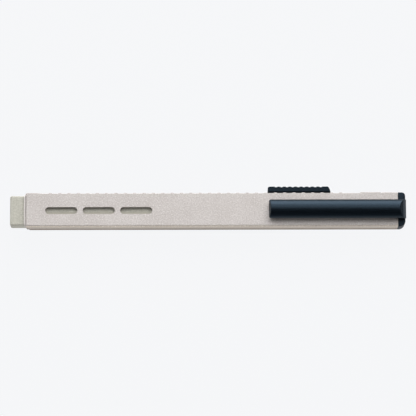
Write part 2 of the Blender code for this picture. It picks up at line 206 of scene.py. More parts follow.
def carve(obj, steps):
    """Apply a list of (operation, bmesh) Booleans to an object's mesh."""
    tools = []
    for operation, bm in steps:
        tool = to_object("carving_tool", bm)
        modifier = obj.modifiers.new("carve", "BOOLEAN")
        modifier.operation = operation
        modifier.solver = "EXACT"
        modifier.object = tool
        tools.append(tool)
    apply_modifiers(obj)
    for tool in tools:
        mesh = tool.data
        bpy.data.objects.remove(tool)
        bpy.data.meshes.remove(mesh)


def apply_modifiers(obj):
    depsgraph = bpy.context.evaluated_depsgraph_get()
    finished = bpy.data.meshes.new_from_object(obj.evaluated_get(depsgraph))
    old = obj.data
    obj.modifiers.clear()
    obj.data = finished
    bpy.data.meshes.remove(old)


def round_edges(obj, wanted, width, segments=3, sharper_than=35):
    """Round the sharp edges whose two ends both satisfy wanted(x, y, z), in millimetres."""
    bm = bmesh.new()
    bm.from_mesh(obj.data)
    limit = math.radians(sharper_than)
    picked = []
    for edge in bm.edges:
        if len(edge.link_faces) != 2 or edge.calc_face_angle(0.0) < limit:
            continue
        if all(wanted(*(vert.co / MM)) for vert in edge.verts):
            picked.append(edge)
    if picked:
        bmesh.ops.bevel(
            bm, geom=picked, offset=width * MM, segments=segments, profile=0.5,
            affect="EDGES", clamp_overlap=True,
        )
    bm.to_mesh(obj.data)
    bm.free()


def smooth(obj, sharp_angle=32):
    """Smooth shading whose flat faces stay flat."""
    obj.data.shade_smooth()
    obj.data.set_sharp_from_angle(angle=math.radians(sharp_angle))
    modifier = obj.modifiers.new("flat_faces_lead", "WEIGHTED_NORMAL")
    modifier.keep_sharp = True
    modifier.weight = 80


def finish_piece(obj, body, nodes, material):
    obj.data.materials.clear()
    obj.data.materials.append(material)
    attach(obj, body)
    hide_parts(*nodes)


def ease(value):
    """0 up to 0, 1 from 1 on, and a smooth rise between them."""
    value = min(1.0, max(0.0, value))
    return value * value * (3 - 2 * value)


def nose_run(radius, steps):
    """Distances behind the tip of a round nose, closest together where it turns fastest."""
    return [radius * (1 - math.cos(math.radians(90 * step / steps))) for step in range(steps + 1)]


# ---------------------------------------------------------------- barrel

def upper_level(station):
    """Height of the barrel's upper side."""
    if station < PAD_START - STEP_LENGTH:
        drop = ease((station - TRACK_START) / (TRACK_LEVEL - TRACK_START))
        index = round((station - RIDGE_FIRST) / RIDGE_PITCH)
        if 0 <= index < RIDGE_COUNT:
            away = abs(station - RIDGE_FIRST - RIDGE_PITCH * index)
            drop = min(drop, ease((away - RIDGE_HALF + RIDGE_FLANK) / RIDGE_FLANK))
        return UPPER_Y + (TRACK_Y - UPPER_Y) * drop
    level = TRACK_Y + (PAD_Y - TRACK_Y) * ease((station - PAD_START) / STEP_LENGTH)
    level += (TRACK_Y - PAD_Y) * ease((station - PAD_END) / STEP_LENGTH)
    return level + (UPPER_Y - TRACK_Y) * ease((station - GROOVE_END + STEP_LENGTH) / STEP_LENGTH)


def barrel_stations():
    """Where the barrel's rings stand: close together at its ends, its ridges and the pad's steps."""
    chamfer = CHAMFER_END - BARREL_START
    stations = [BARREL_START + chamfer * share for share in (0.0, 0.25, 0.6, 0.85, 0.95, 1.0, 1.05, 1.2)]
    stations += [2.3, 3.0]
    stations += [TRACK_START + (TRACK_LEVEL - TRACK_START) * step / 6 for step in range(7)]
    offsets = [RIDGE_HALF - RIDGE_FLANK * step / 4 for step in range(5)] + [0.2, 0.0]
    for index in range(RIDGE_COUNT):
        centre = RIDGE_FIRST + RIDGE_PITCH * index
        stations += [centre - offset for offset in offsets]
        stations += [centre + offset for offset in offsets[-2::-1]]
    stations += [SLOT_END - 0.9, SLOT_END + 0.4]
    for start in (PAD_START, PAD_END, GROOVE_END - STEP_LENGTH):
        stations += [start + STEP_LENGTH * step / 4 for step in range(5)]
    return stations + [117.0, BARREL_END - 0.15, BARREL_END - 0.1, BARREL_END - 0.04, BARREL_END]


def front_chamfer(station):
    """1 at the barrel's front end and 0 behind its chamfer, with a soft break between them."""
    share = (CHAMFER_END - station) / (CHAMFER_END - BARREL_START)
    softness = 0.003
    if share < -0.3:
        return 0.0
    return (share + math.sqrt(share * share + softness)) / 2


def barrel_rings(section):
    """Rings of section(top, side_in, face_in) along the barrel, raked at the mouth, rounded at the rear."""
    edge = 0.1
    rings = []
    for station in barrel_stations():
        chamfer = front_chamfer(station)
        rear = edge - math.sqrt(max(0.0, edge**2 - max(0.0, edge - BARREL_END + station) ** 2))
        outline = section(upper_level(station), chamfer * CHAMFER_SIDE + rear, chamfer * CHAMFER_FACE + rear)
        lean = min(1.0, max(0.0, (RAKE_END - station) / (RAKE_END - CHAMFER_END)))
        rings.append([(at(station) + lean * rake(z), y, z) for y, z in outline])
    return rings


def shell_section(top, side_in, face_in):
    """The channel's section: round back, bore, and the lip beside the cover along the lower side."""
    low, high = LOWER_Y + side_in, top - side_in
    rim = SEAM_Z - SEAM_GAP / 2
    rim_edge, fillet, fillet_steps, inner_edge, outer_edge, edge_steps = 0.03, 0.4, 4, 0.02, 0.12, 6
    outer = rounded_rect(low, high, face_in, rim, (BACK_ROUND, BACK_ROUND, rim_edge, 0.0))
    round_back = outer[: 3 * (CORNER_STEPS + 1)]
    bore = rounded_rect(-BORE_Y, BORE_Y, BORE_Z[0], rim + 1.0, (fillet, fillet, 0.0, 0.0), fillet_steps)
    inner = [(BORE_Y, rim)] + bore[: 2 * (fillet_steps + 1)][::-1] + [(-BORE_Y, rim)]
    lip_top = LIP_TOP_Z - face_in
    edge = low - SIDE_DRAFT
    lip_round = min(outer_edge, lip_top - rim, LIP_Y - edge)
    lip = [(LIP_Y, rim), (LIP_Y, lip_top - inner_edge), (LIP_Y - inner_edge, lip_top)]
    for step in range(edge_steps + 1):
        angle = math.radians(90 + 90 * step / edge_steps)
        lip.append((
            edge + lip_round + lip_round * math.cos(angle),
            lip_top - lip_round + lip_round * math.sin(angle),
        ))
    return round_back + inner + lip


def cover_section(top, side_in, face_in):
    """The front plate's section, between the lip and the upper side."""
    high = DEPTH - face_in
    back_edges, seam_edge = (0.05, 0.08), 0.16
    widest = (high - COVER_LOW.z) * 0.3
    edges = [min(edge, widest) for edge in (*back_edges, FRONT_ROUND, seam_edge)]
    return rounded_rect(LIP_Y + SEAM_GAP, top - side_in, COVER_LOW.z, high, edges)


def make_barrel(shell_material, cover_material):
    shell = to_object("back_shell_moulding", skin(barrel_rings(shell_section)))
    slot = stadium(at(SLOT_START), at(SLOT_END), sum(SLOT_Z) / 2, SLOT_Z[1] - SLOT_Z[0])
    carve(shell, [("DIFFERENCE", prism(slot, "y", BORE_Y - 1.0, PAD_Y + 1.0))])
    smooth(shell)
    finish_piece(shell, "barrel", ["back_shell"], shell_material)

    cover = to_object("front_cover_moulding", skin(barrel_rings(cover_section)))
    cuts = []
    for index in range(WINDOW_COUNT):
        start = WINDOW_START + WINDOW_PITCH * index
        outline = stadium(at(start), at(start + WINDOW_LENGTH), WINDOW_Y, WINDOW_HEIGHT)
        cuts.append(("DIFFERENCE", prism(outline, "z", COVER_LOW.z - 1.0, DEPTH + 1.0)))
    carve(cover, cuts)
    windows_end = WINDOW_START + WINDOW_PITCH * WINDOW_COUNT

    def on_window_rim(x, y, z):
        beside = abs(y - WINDOW_Y) < WINDOW_HEIGHT and WINDOW_START - 1.0 < x - MOUTH_X < windows_end
        return beside and z > DEPTH - 0.001

    round_edges(cover, on_window_rim, 0.06)
    smooth(cover)
    finish_piece(cover, "barrel", ["front_cover"], cover_material)


def make_collar(material):
    """The flange round the mouth, and the two tongues that hold it in the bore."""
    front_edge, front_steps, rear_edge, hole_run, hole_flare, least_radius = 0.13, 4, 0.05, 0.06, 0.04, 0.05
    tongue_start, tongue_half = 0.16, 3.8
    stick_sides = (STICK_LOW.y - COLLAR_GAP, STICK_HIGH.y + COLLAR_GAP)
    stick_faces = (STICK_LOW.z - COLLAR_GAP, STICK_HIGH.z + COLLAR_GAP)
    flange = (COLLAR_LOW.y, COLLAR_HIGH.y, COLLAR_LOW.z, COLLAR_HIGH.z, FLANGE_ROUND)
    hole = (*stick_sides, *stick_faces, 0.35)

    def ring(shape, station, shrink=0.0):
        u0, u1, v0, v1, radius = shape
        radii = [max(least_radius, radius - shrink)] * 4
        outline = rounded_rect(u0 + shrink, u1 - shrink, v0 + shrink, v1 - shrink, radii)
        return [(at(station) + rake(z), y, z) for y, z in outline]

    rings = []
    for step in range(front_steps + 1):
        angle = math.radians(90 * step / front_steps)
        rings.append(ring(flange, front_edge * (1 - math.sin(angle)), front_edge * (1 - math.cos(angle))))
    rings.reverse()
    rings += [ring(flange, FLANGE_END - rear_edge), ring(flange, FLANGE_END, rear_edge)]
    rings += [ring(hole, FLANGE_END), ring(hole, hole_run), ring(hole, 0.0, -hole_flare)]
    collar = to_object("nose_collar_moulding", skin(rings, closed=True))
    tongues = []
    for low, high in (
        (stick_faces[1], BORE_Z[1] - COLLAR_GAP),
        (BORE_Z[0] + COLLAR_GAP, stick_faces[0]),
    ):
        first = at(tongue_start + rake(low))
        tongues.append(("UNION", block(first, COLLAR_HIGH.x, -tongue_half, tongue_half, low, high)))
    carve(collar, tongues)
    smooth(collar)
    finish_piece(collar, "barrel", ["nose_collar"], material)


# ---------------------------------------------------------------- stick

def make_stick(material):
    """The vinyl stick, its tip rounded and a little uneven from use."""
    corner_radius, corner_steps, tip_round, rear_round, tip_steps, body_steps = 0.42, 5, 0.55, 0.25, 6, 60
    wear, wear_reach = 0.06, 1.5
    length = STICK_HIGH.x - STICK_LOW.x
    body_start, body_end = 4.0, length - 0.6
    body_step = (body_end - body_start) / body_steps
    stations = nose_run(tip_round, tip_steps) + [0.8, 1.2, 1.7, 2.3, 3.0]
    stations += [body_start + body_step * step for step in range(body_steps + 1)]
    stations += [length - 0.2, length]
    middle = (STICK_LOW + STICK_HIGH) / 2
    rings = []
    for station in stations:
        past = max(0.0, tip_round - station)
        shrink = tip_round - math.sqrt(max(0.0, tip_round**2 - past**2))
        past_rear = max(0.0, station - (length - rear_round))
        shrink += rear_round - math.sqrt(max(0.0, rear_round**2 - past_rear**2))
        shrink_y, shrink_z = shrink * 0.85, shrink * 0.7
        outline = rounded_rect(
            STICK_LOW.y + shrink_y, STICK_HIGH.y - shrink_y,
            STICK_LOW.z + shrink_z, STICK_HIGH.z - shrink_z, [corner_radius] * 4, corner_steps,
        )
        rub = wear * math.exp(-station / wear_reach)
        ring = []
        for y, z in outline:
            wobble = abs(noise.noise(Vector((station * 0.8, y * 0.9, z * 0.9)))) * rub
            inward = (middle.yz - Vector((y, z))).normalized() * wobble
            ring.append((STICK_LOW.x + station, y + inward.x, z + inward.y))
        rings.append(ring)
    stick = to_object("eraser_stick_vinyl", skin(rings))
    smooth(stick, 50)
    finish_piece(stick, "refill", ["eraser_stick"], material)


# ---------------------------------------------------------------- slider

def slider_outline():
    """Side view of the slider: full round nose, flat-topped first rib, scalloped top, steep rear."""
    front, rear = SLIDER_LOW.x, SLIDER_HIGH.x
    base, top = SLIDER_LOW.y, SLIDER_HIGH.y
    rib_count, rib_pitch, rib_depth, rib_steps = 8, 1.8, 0.30, 8
    nose, nose_steps, nose_drop = 0.5, 6, 0.06
    first_valley = front + 2.6
    points = [(front, base)]
    for step in range(nose_steps + 1):
        angle = math.radians(90 * step / nose_steps)
        points.append((front + nose * (1 - math.cos(angle)), top - nose_drop - nose * (1 - math.sin(angle))))
    points += [(front + 0.9, top), (first_valley - 0.55, top), (first_valley - 0.3, top - 0.07)]
    points.append((first_valley - 0.12, top - 0.2))
    for rib in range(rib_count):
        for step in range(1 if rib else 0, rib_steps + 1):
            share = step / rib_steps
            rise = math.sin(math.pi * share) ** 0.8 if 0 < share < 1 else 0.0
            points.append((first_valley + rib_pitch * (rib + share), top - rib_depth * (1 - rise)))
    last_valley = points[-1][0]
    points += [(last_valley + 0.15, top - 0.2), (last_valley + 0.35, top - 0.08), (last_valley + 0.6, top)]
    points += [(rear - 1.0, top), (rear - 0.75, top - 0.12), (rear - 0.5, top - 0.45)]
    points += [(rear - 0.24, base + 1.1), (rear - 0.1, base + 0.5), (rear, base + 0.35), (rear, base)]
    return points


def make_slider(material):
    slider = to_object("thumb_slider_moulding", prism(slider_outline(), "z", SLIDER_LOW.z, SLIDER_HIGH.z))

    def on_side_face(x, y, z):
        outside = z < SLIDER_LOW.z + 0.001 or z > SLIDER_HIGH.z - 0.001
        return outside and y > SLIDER_LOW.y + 0.01

    round_edges(slider, on_side_face, 0.22, segments=4, sharper_than=60)
    room, beside = 0.3, 0.15
    below = SLIDER_LOW.y - room
    pocket = block(at(POCKET_START), at(POCKET_END), below, CARRIAGE_HIGH.y + 0.1, *SLOT_Z)
    leaf_room = block(
        LEAF_LOW.x - room, at(LEAF_ROOM_END), below, LEAF_HIGH.y + room,
        LEAF_LOW.z - beside, LEAF_HIGH.z + beside,
    )
    cuts = [("DIFFERENCE", pocket), ("DIFFERENCE", leaf_room)]
    for low, high in (
        (SLIDER_HIGH.z - UNDERCUT, SLIDER_HIGH.z + 1.0),
        (SLIDER_LOW.z - 1.0, SLIDER_LOW.z + UNDERCUT),
    ):
        strip = block(SLIDER_LOW.x - 1.0, SLIDER_HIGH.x + 1.0, below, UNDERCUT_TOP_Y, low, high)
        cuts.append(("DIFFERENCE", strip))
    carve(slider, cuts)
    smooth(slider, 48)
    finish_piece(slider, "carriage", ["thumb_slider"], material)


# ---------------------------------------------------------------- cap and clip

def pivot_bar(radius, half_neck, half_length):
    """A round bar along Y with a flat-sided neck above it."""
    steps = 24
    start = math.asin(half_neck / radius)
    x = at(PIVOT_STATION)
    outline = [(x - half_neck, PIVOT_TOP)]
    for step in range(steps + 1):
        angle = start + (2 * math.pi - 2 * start) * step / steps
        outline.append((x - radius * math.sin(angle), PIVOT_Z + radius * math.cos(angle)))
    outline.append((x + half_neck, PIVOT_TOP))
    return prism(outline, "y", CLIP_Y - half_length, CLIP_Y + half_length)


def make_cap(material):
    """The cap, whose rear is a dome that stops just short of its own crown."""
    crown = 0.02
    front, rear = CAP_START, CAP_HIGH.x - MOUTH_X + crown
    upper_round, lower_round, face_round, seam_edge, least_radius = 1.2, 2.0, 0.7, 0.07, 0.35
    flatter, dome_steps = 0.92, 22

    def drawn_in(station, radius):
        past = max(0.0, station - (rear - radius))
        return radius - math.sqrt(max(0.0, radius * radius - past * past))

    stations = [front, front + 0.02, front + seam_edge]
    for step in range(dome_steps):
        stations.append(rear - lower_round * math.cos(math.radians(90 * step / dome_steps)))
    stations = sorted(stations) + [rear - crown]
    rings = []
    for station in stations:
        edge_in = seam_edge - math.sqrt(max(0.0, seam_edge**2 - max(0.0, front + seam_edge - station) ** 2))
        z_in = drawn_in(station, face_round) + edge_in
        back = max(least_radius, BACK_ROUND - z_in)
        outline = rounded_rect(
            LOWER_Y + drawn_in(station, lower_round) * flatter + edge_in,
            UPPER_Y - drawn_in(station, upper_round) * flatter - edge_in,
            z_in, DEPTH - z_in, (back, back, least_radius, least_radius),
        )
        drafted = [(y - SIDE_DRAFT * z / DEPTH if y < 0.0 else y, z) for y, z in outline]
        rings.append([(at(station), y, z) for y, z in drafted])
    cap = to_object("end_cap_moulding", skin(rings))
    room, wall, spigot_round, overlap, hollow_end = 0.1, 0.9, 0.4, 0.8, front - 0.6
    spigot = rounded_rect(
        -BORE_Y + room, BORE_Y - room, BORE_Z[0] + room, BORE_Z[1] - room, [spigot_round] * 4
    )
    inside = room + wall
    hollow = block(
        CAP_LOW.x - 1.0, at(hollow_end), -BORE_Y + inside, BORE_Y - inside,
        BORE_Z[0] + inside, BORE_Z[1] - inside,
    )
    round_it, beside_neck, past_ends = 0.12, 0.14, 0.15
    foot_room = pivot_bar(
        PIVOT_RADIUS + round_it, PIVOT_HALF_NECK + beside_neck, PIVOT_HALF_LENGTH + past_ends
    )
    carve(cap, [
        ("UNION", prism(spigot, "x", CAP_LOW.x, at(front + overlap))),
        ("DIFFERENCE", hollow),
        ("DIFFERENCE", foot_room),
    ])
    smooth(cap, 40)
    finish_piece(cap, "barrel", ["end_cap"], material)


def clip_ring(station):
    """One D-shaped ring of the clip, with the same points at every station."""
    arc_steps, side_steps = 28, 3
    side_z, top_z, root_z, edge = 9.4, CLIP_HIGH.z, 8.2, 0.12
    run = station - (CLIP_LOW.x - MOUTH_X)
    past = max(0.0, CLIP_TIP_ROUND - run)
    tip_in = CLIP_TIP_ROUND - math.sqrt(max(0.0, CLIP_TIP_ROUND**2 - past**2))
    half = (CLIP_HIGH.y - CLIP_LOW.y) / 2 - tip_in
    bevel = CLIP_UNDER + 0.45 + TIP_SLOPE * run
    hip = top_z - HIP_SLOPE * (station - HIP_START) - (END_SLOPE - HIP_SLOPE) * max(0.0, station - HIP_END)
    roof = min(top_z, bevel, hip)
    under = CLIP_UNDER - (CLIP_UNDER - root_z) * ease((station - ROOT_START) / ROOT_RUN)
    foot, shoulder = under + edge, min(side_z, roof - 0.04)
    sides = [foot + (shoulder - foot) * step / side_steps for step in range(side_steps)]
    points = [(-half + edge, under), (half - edge, under)]
    points += [(half, z) for z in sides]
    for step in range(arc_steps + 1):
        angle = math.pi * step / arc_steps
        height = side_z + (top_z - side_z) * math.sin(angle)
        points.append((half * math.cos(angle), max(shoulder, min(height, roof))))
    points += [(-half, z) for z in reversed(sides)]
    return [(at(station), CLIP_Y + y, z) for y, z in points]


def clip_stations():
    """Where the clip's rings stand: close together at its tip, its root and its hipped rear."""
    tip, end = CLIP_LOW.x - MOUTH_X, CLIP_HIGH.x - MOUTH_X
    stations = [tip + run for run in nose_run(CLIP_TIP_ROUND, 8) + [0.66, 0.72, 0.9]]
    stations += [84.0, 90.0, 96.0, 102.0, 108.0, 114.0]
    stations += [ROOT_START + ROOT_RUN * step / 6 for step in range(7)]
    stations += [119.4, 120.0, HIP_START]
    for start, stop in ((HIP_START, HIP_END), (HIP_END, end)):
        stations += [start + (stop - start) * step / 8 for step in range(1, 9)]
    return stations


def clip_bump():
    """The bump under the clip's tip that holds it on a pocket's hem, pulled along Y."""
    station, half_width, lowest, sides_z, inside_z, crown = 82.2, 1.6, 8.12, 8.32, 9.3, 0.1
    x = at(station)
    outline = [(x - 1.6, inside_z), (x - 0.7, sides_z)]
    for step in range(7):
        share = step / 3 - 1
        outline.append((x + share / 2, lowest + crown * share**2))
    outline += [(x + 0.7, sides_z), (x + 1.6, inside_z)]
    return prism(outline, "y", CLIP_Y - half_width, CLIP_Y + half_width)


def make_clip(material):
    clip = to_object("pocket_clip_moulding", skin([clip_ring(station) for station in clip_stations()]))
    carve(clip, [
        ("UNION", pivot_bar(PIVOT_RADIUS, PIVOT_HALF_NECK, PIVOT_HALF_LENGTH)),
        ("UNION", clip_bump()),
    ])
    smooth(clip, 40)
    finish_piece(clip, "clip", ["pocket_clip"], material)


# ---------------------------------------------------------------- materials

class Nodes:
    """A small helper that builds one procedural material."""

    def __init__(self, name):
        self.material = bpy.data.materials.new(name)
        self.material.use_nodes = True
        self.tree = self.material.node_tree
        self.shader = self.tree.nodes["Principled BSDF"]
        self.place = self.tree.nodes.new("ShaderNodeTexCoord").outputs["Object"]

    def link(self, source, target):
        self.tree.links.new(source, target)

    def along(self, axis):
        """The place along one axis, in metres."""
        split = self.tree.nodes.new("ShaderNodeSeparateXYZ")
        self.link(self.place, split.inputs["Vector"])
        return split.outputs[axis]

    def stretched(self, factors):
        """The place, scaled along each axis: below 1 draws a pattern out along that axis."""
        mapping = self.tree.nodes.new("ShaderNodeMapping")
        mapping.inputs["Scale"].default_value = factors
        self.link(self.place, mapping.inputs["Vector"])
        return mapping.outputs["Vector"]

    def noise(self, size_mm, detail=3.0, roughness=0.6, vector=None):
        """Noise whose blotches are about size_mm across."""
        node = self.tree.nodes.new("ShaderNodeTexNoise")
        node.inputs["Scale"].default_value = 1.0 / (size_mm * MM)
        node.inputs["Detail"].default_value = detail
        node.inputs["Roughness"].default_value = roughness
        self.link(vector or self.place, node.inputs["Vector"])
        return node.outputs["Fac"]

    def spread(self, source, low, high, to_low, to_high):
        """Map source from low..high to to_low..to_high."""
        node = self.tree.nodes.new("ShaderNodeMapRange")
        node.inputs["From Min"].default_value = low
        node.inputs["From Max"].default_value = high
        node.inputs["To Min"].default_value = to_low
        node.inputs["To Max"].default_value = to_high
        self.link(source, node.inputs["Value"])
        return node.outputs["Result"]

    def maths(self, operation, first, second):
        """The result of a sum on two values, each a number or a socket."""
        node = self.tree.nodes.new("ShaderNodeMath")
        node.operation = operation
        for value, socket in ((first, node.inputs[0]), (second, node.inputs[1])):
            if isinstance(value, (int, float)):
                socket.default_value = value
            else:
                self.link(value, socket)
        return node.outputs["Value"]

    def blend(self, factor, first, second):
        """Mix two colours, each a tuple or a socket."""
        node = self.tree.nodes.new("ShaderNodeMix")
        node.data_type = "RGBA"
        self.link(factor, node.inputs["Factor"])
        for value, socket in ((first, node.inputs[6]), (second, node.inputs[7])):
            if isinstance(value, tuple):
                socket.default_value = (*value, 1.0)
            else:
                self.link(value, socket)
        return node.outputs[2]

    def edges(self, low, high):
        """0 on flats and 1 on outward edges."""
        geometry = self.tree.nodes.new("ShaderNodeNewGeometry")
        return self.spread(geometry.outputs["Pointiness"], low, high, 0.0, 1.0)

    def bump(self, height, strength, distance_mm):
        node = self.tree.nodes.new("ShaderNodeBump")
        node.inputs["Strength"].default_value = strength
        node.inputs["Distance"].default_value = distance_mm * MM
        self.link(height, node.inputs["Height"])
        self.link(node.outputs["Normal"], self.shader.inputs["Normal"])

    def colour(self, source):
        self.link(source, self.shader.inputs["Base Color"])

    def roughness(self, source):
        self.link(source, self.shader.inputs["Roughness"])


BACK_SHADE_GREY = (0.16, 0.125, 0.09)    # painted shade: the barrel darkened and warmed towards its back edges, where it nears the floor
BACK_SHADE_Z = (6.8, 1.2)                # where that starts, and where it is complete
WORN_NAVY = (0.02, 0.03, 0.04)
NAVY_SHEEN = (0.50, 0.74, 1.0)        # the cold tint of the dark plastic's reflections


def pearl_plastic(name, base, dark, light):
    """Moulded warm grey plastic with a fine mineral fleck, faint clouding and lengthwise rub marks, and
    painted shade, left matt, towards its back.
    """
    nodes = Nodes(name)
    cloud = nodes.noise(7.0, 3.0)
    fleck = nodes.noise(0.42, 3.0, 0.7)
    rubbed = nodes.noise(0.25, 3.0, 0.65, nodes.stretched((0.03, 1.0, 1.0)))
    clouded = nodes.blend(nodes.spread(cloud, 0.35, 0.65, 0.0, 0.5), base, dark)
    flecked = nodes.blend(nodes.spread(fleck, 0.50, 0.66, 0.0, 1.0), clouded, light)
    speckled = nodes.blend(nodes.spread(fleck, 0.48, 0.34, 0.0, 1.0), flecked, dark)
    ragged = 0.4 * MM
    # Painted shade: darker and warmer towards the back, with a ragged edge from the clouding; the same mask
    # leaves the skin matt there.
    height = nodes.maths("ADD", nodes.along("Z"), nodes.spread(cloud, 0.3, 0.7, -ragged, ragged))
    painted_back_shade = nodes.spread(height, BACK_SHADE_Z[0] * MM, BACK_SHADE_Z[1] * MM, 0.0, 1.0)
    nodes.colour(nodes.blend(painted_back_shade, speckled, BACK_SHADE_GREY))
    base_roughness = nodes.spread(rubbed, 0.35, 0.7, 0.48, 0.62)
    base_roughness = nodes.maths("ADD", base_roughness, nodes.spread(cloud, 0.3, 0.7, -0.03, 0.04))
    nodes.roughness(nodes.maths("MAXIMUM", base_roughness, painted_back_shade))
    grain = nodes.noise(0.12, 2.0, 0.6)
    nodes.bump(nodes.maths("ADD", grain, nodes.maths("MULTIPLY", rubbed, 0.35)), 0.35, 0.012)
    nodes.shader.inputs["IOR"].default_value = 1.3
    nodes.shader.inputs["Specular IOR Level"].default_value = 0.4
    return nodes.material


def dark_plastic(name, base, low_roughness, high_roughness, specular, matt_below=None):
    """Blue-black moulded plastic: satin skin, faint mould texture, hairline rub marks, paler edges.

    Where Y is less than matt_below, in millimetres, the skin is left matt.
    """
    nodes = Nodes(name)
    cloud = nodes.noise(5.0, 4.0)
    rubbed = nodes.noise(0.18, 4.0, 0.7, nodes.stretched((0.04, 1.0, 1.0)))
    skin_colour = nodes.blend(nodes.spread(cloud, 0.35, 0.7, 0.0, 0.6), base, tuple(c * 1.35 for c in base))
    edge = nodes.maths("MULTIPLY", nodes.edges(0.54, 0.66), nodes.spread(rubbed, 0.3, 0.7, 0.2, 1.0))
    nodes.colour(nodes.blend(nodes.maths("MULTIPLY", edge, 0.5), skin_colour, WORN_NAVY))
    roughness = nodes.spread(rubbed, 0.3, 0.75, low_roughness, high_roughness)
    if matt_below is not None:
        matt = nodes.spread(nodes.along("Y"), (matt_below + 0.1) * MM, matt_below * MM, 0.0, 1.0)
        roughness = nodes.maths("MAXIMUM", roughness, matt)
    nodes.roughness(roughness)
    grain = nodes.noise(0.15, 2.0, 0.5)
    nodes.bump(nodes.maths("ADD", grain, nodes.maths("MULTIPLY", rubbed, 0.5)), 0.25, 0.008)
    nodes.shader.inputs["Specular IOR Level"].default_value = specular
    nodes.shader.inputs["Specular Tint"].default_value = (*NAVY_SHEEN, 1.0)
    return nodes.material


def vinyl(name):
    """Off-white eraser, chalky and mottled: graphite at the tip, and painted shade along the windows' lower
    edge.
    """
    nodes = Nodes(name)
    mottle = nodes.noise(2.2, 4.0, 0.6)
    speck = nodes.noise(0.5, 3.0, 0.7)
    base, shade, pale = (0.51, 0.50, 0.437), (0.42, 0.415, 0.36), (0.59, 0.58, 0.52)
    graphite, window_shade_colour, tip_reach = (0.30, 0.30, 0.28), (0.375, 0.355, 0.295), 1.2
    body = nodes.blend(nodes.spread(mottle, 0.35, 0.7, 0.0, 0.5), base, shade)
    body = nodes.blend(nodes.spread(speck, 0.5, 0.68, 0.0, 1.0), body, pale)
    body = nodes.blend(nodes.spread(speck, 0.48, 0.34, 0.0, 1.0), body, shade)
    tip = STICK_LOW.x
    near_tip = nodes.spread(nodes.along("X"), (tip + tip_reach) * MM, tip * MM, 0.0, 1.0)
    smudge = nodes.maths("MULTIPLY", near_tip, nodes.spread(speck, 0.4, 0.7, 0.0, 0.5))
    smudged = nodes.blend(smudge, body, graphite)
    # Painted shade: the stick's front face darkened in a band along the windows' lower edges, from just
    # before the first window back.
    sill = WINDOW_Y - WINDOW_HEIGHT / 2
    painted_window_shade = nodes.spread(speck, 0.35, 0.6, 0.8, 1.0)
    for axis, start, full in (
        ("X", at(WINDOW_START - 2.0), at(WINDOW_START)),
        ("Y", sill + 1.1, sill + 0.2),
        ("Y", sill - 0.8, sill - 0.2),
        ("Z", DEPTH / 2, STICK_HIGH.z),
    ):
        share = nodes.spread(nodes.along(axis), start * MM, full * MM, 0.0, 1.0)
        painted_window_shade = nodes.maths("MULTIPLY", painted_window_shade, share)
    nodes.colour(nodes.blend(painted_window_shade, smudged, window_shade_colour))
    nodes.roughness(nodes.spread(mottle, 0.3, 0.7, 0.72, 0.9))
    nodes.bump(nodes.maths("ADD", speck, nodes.noise(0.1, 2.0, 0.6)), 0.4, 0.02)
    nodes.shader.inputs["Specular IOR Level"].default_value = 0.3
    return nodes.material


def acetal(name):
    """Natural white moulding inside the barrel, with sink marks and fine tool lines."""
    nodes = Nodes(name)
    cloud = nodes.noise(3.0, 3.0)
    lines = nodes.noise(0.2, 3.0, 0.6, nodes.stretched((0.05, 1.0, 1.0)))
    clouded = nodes.spread(cloud, 0.35, 0.7, 0.0, 1.0)
    nodes.colour(nodes.blend(clouded, (0.70, 0.70, 0.68), (0.62, 0.62, 0.60)))
    nodes.roughness(nodes.spread(lines, 0.3, 0.7, 0.35, 0.5))
    nodes.bump(nodes.maths("ADD", lines, cloud), 0.3, 0.01)
    return nodes.material


def strip_steel(name):
    """Rolled spring strip: bright, brushed along its length, a little heat-tinted."""
    nodes = Nodes(name)
    brushed = nodes.noise(0.12, 4.0, 0.7, nodes.stretched((0.03, 1.0, 1.0)))
    tint = nodes.noise(2.5, 2.0)
    steel = nodes.blend(nodes.spread(tint, 0.4, 0.7, 0.0, 1.0), (0.58, 0.58, 0.58), (0.50, 0.46, 0.40))
    nodes.colour(steel)
    nodes.shader.inputs["Metallic"].default_value = 1.0
    nodes.roughness(nodes.spread(brushed, 0.3, 0.7, 0.22, 0.42))
    nodes.bump(brushed, 0.25, 0.006)
    return nodes.material


def dress_hidden_node(node, material, width):
    """A carried-over CAD node: better material, and softened edges from modifiers."""
    obj = NODES[node]
    obj.data.materials.clear()
    obj.data.materials.append(material)
    weld = obj.modifiers.new("weld", "WELD")
    weld.merge_threshold = 0.001 * MM
    bevel = obj.modifiers.new("soft_edges", "BEVEL")
    bevel.width = width * MM
    bevel.segments = 2
    bevel.limit_method = "ANGLE"
    bevel.angle_limit = math.radians(40)


# ---------------------------------------------------------------- stage, light, camera

FLOOR_GLOW = 0.925                    # how brightly the floor shines by itself
FLOOR_DROP = 0.15                     # how far the floor lies below the part's back


def make_floor():
    """A pale round sweep that glows a little, as a lit table does, with a painted shadow beneath the part.
    """
    flat, wall, height, sides, steps = 2.6, 4.0, 0.5, 64, 8
    angles = [2 * math.pi * side / sides for side in range(sides)]
    bm = bmesh.new()
    rings = []
    for step in range(steps + 1):
        turn = math.radians(90 * step / steps)
        radius = flat + (wall - flat) * math.sin(turn)
        rise = height * (1 - math.cos(turn))
        rings.append([bm.verts.new((radius * math.cos(a), radius * math.sin(a), rise)) for a in angles])
    bm.faces.new(rings[0])
    for low, high in zip(rings, rings[1:]):
        for i in range(sides):
            j = (i + 1) % sides
            bm.faces.new((low[i], low[j], high[j], high[i]))
    mesh = bpy.data.meshes.new("floor")
    bm.to_mesh(mesh)
    bm.free()
    mesh.materials.append(floor_paint())
    floor = bpy.data.objects.new("floor", mesh)
    floor.location.z = -FLOOR_DROP * MM
    bpy.context.scene.collection.objects.link(floor)


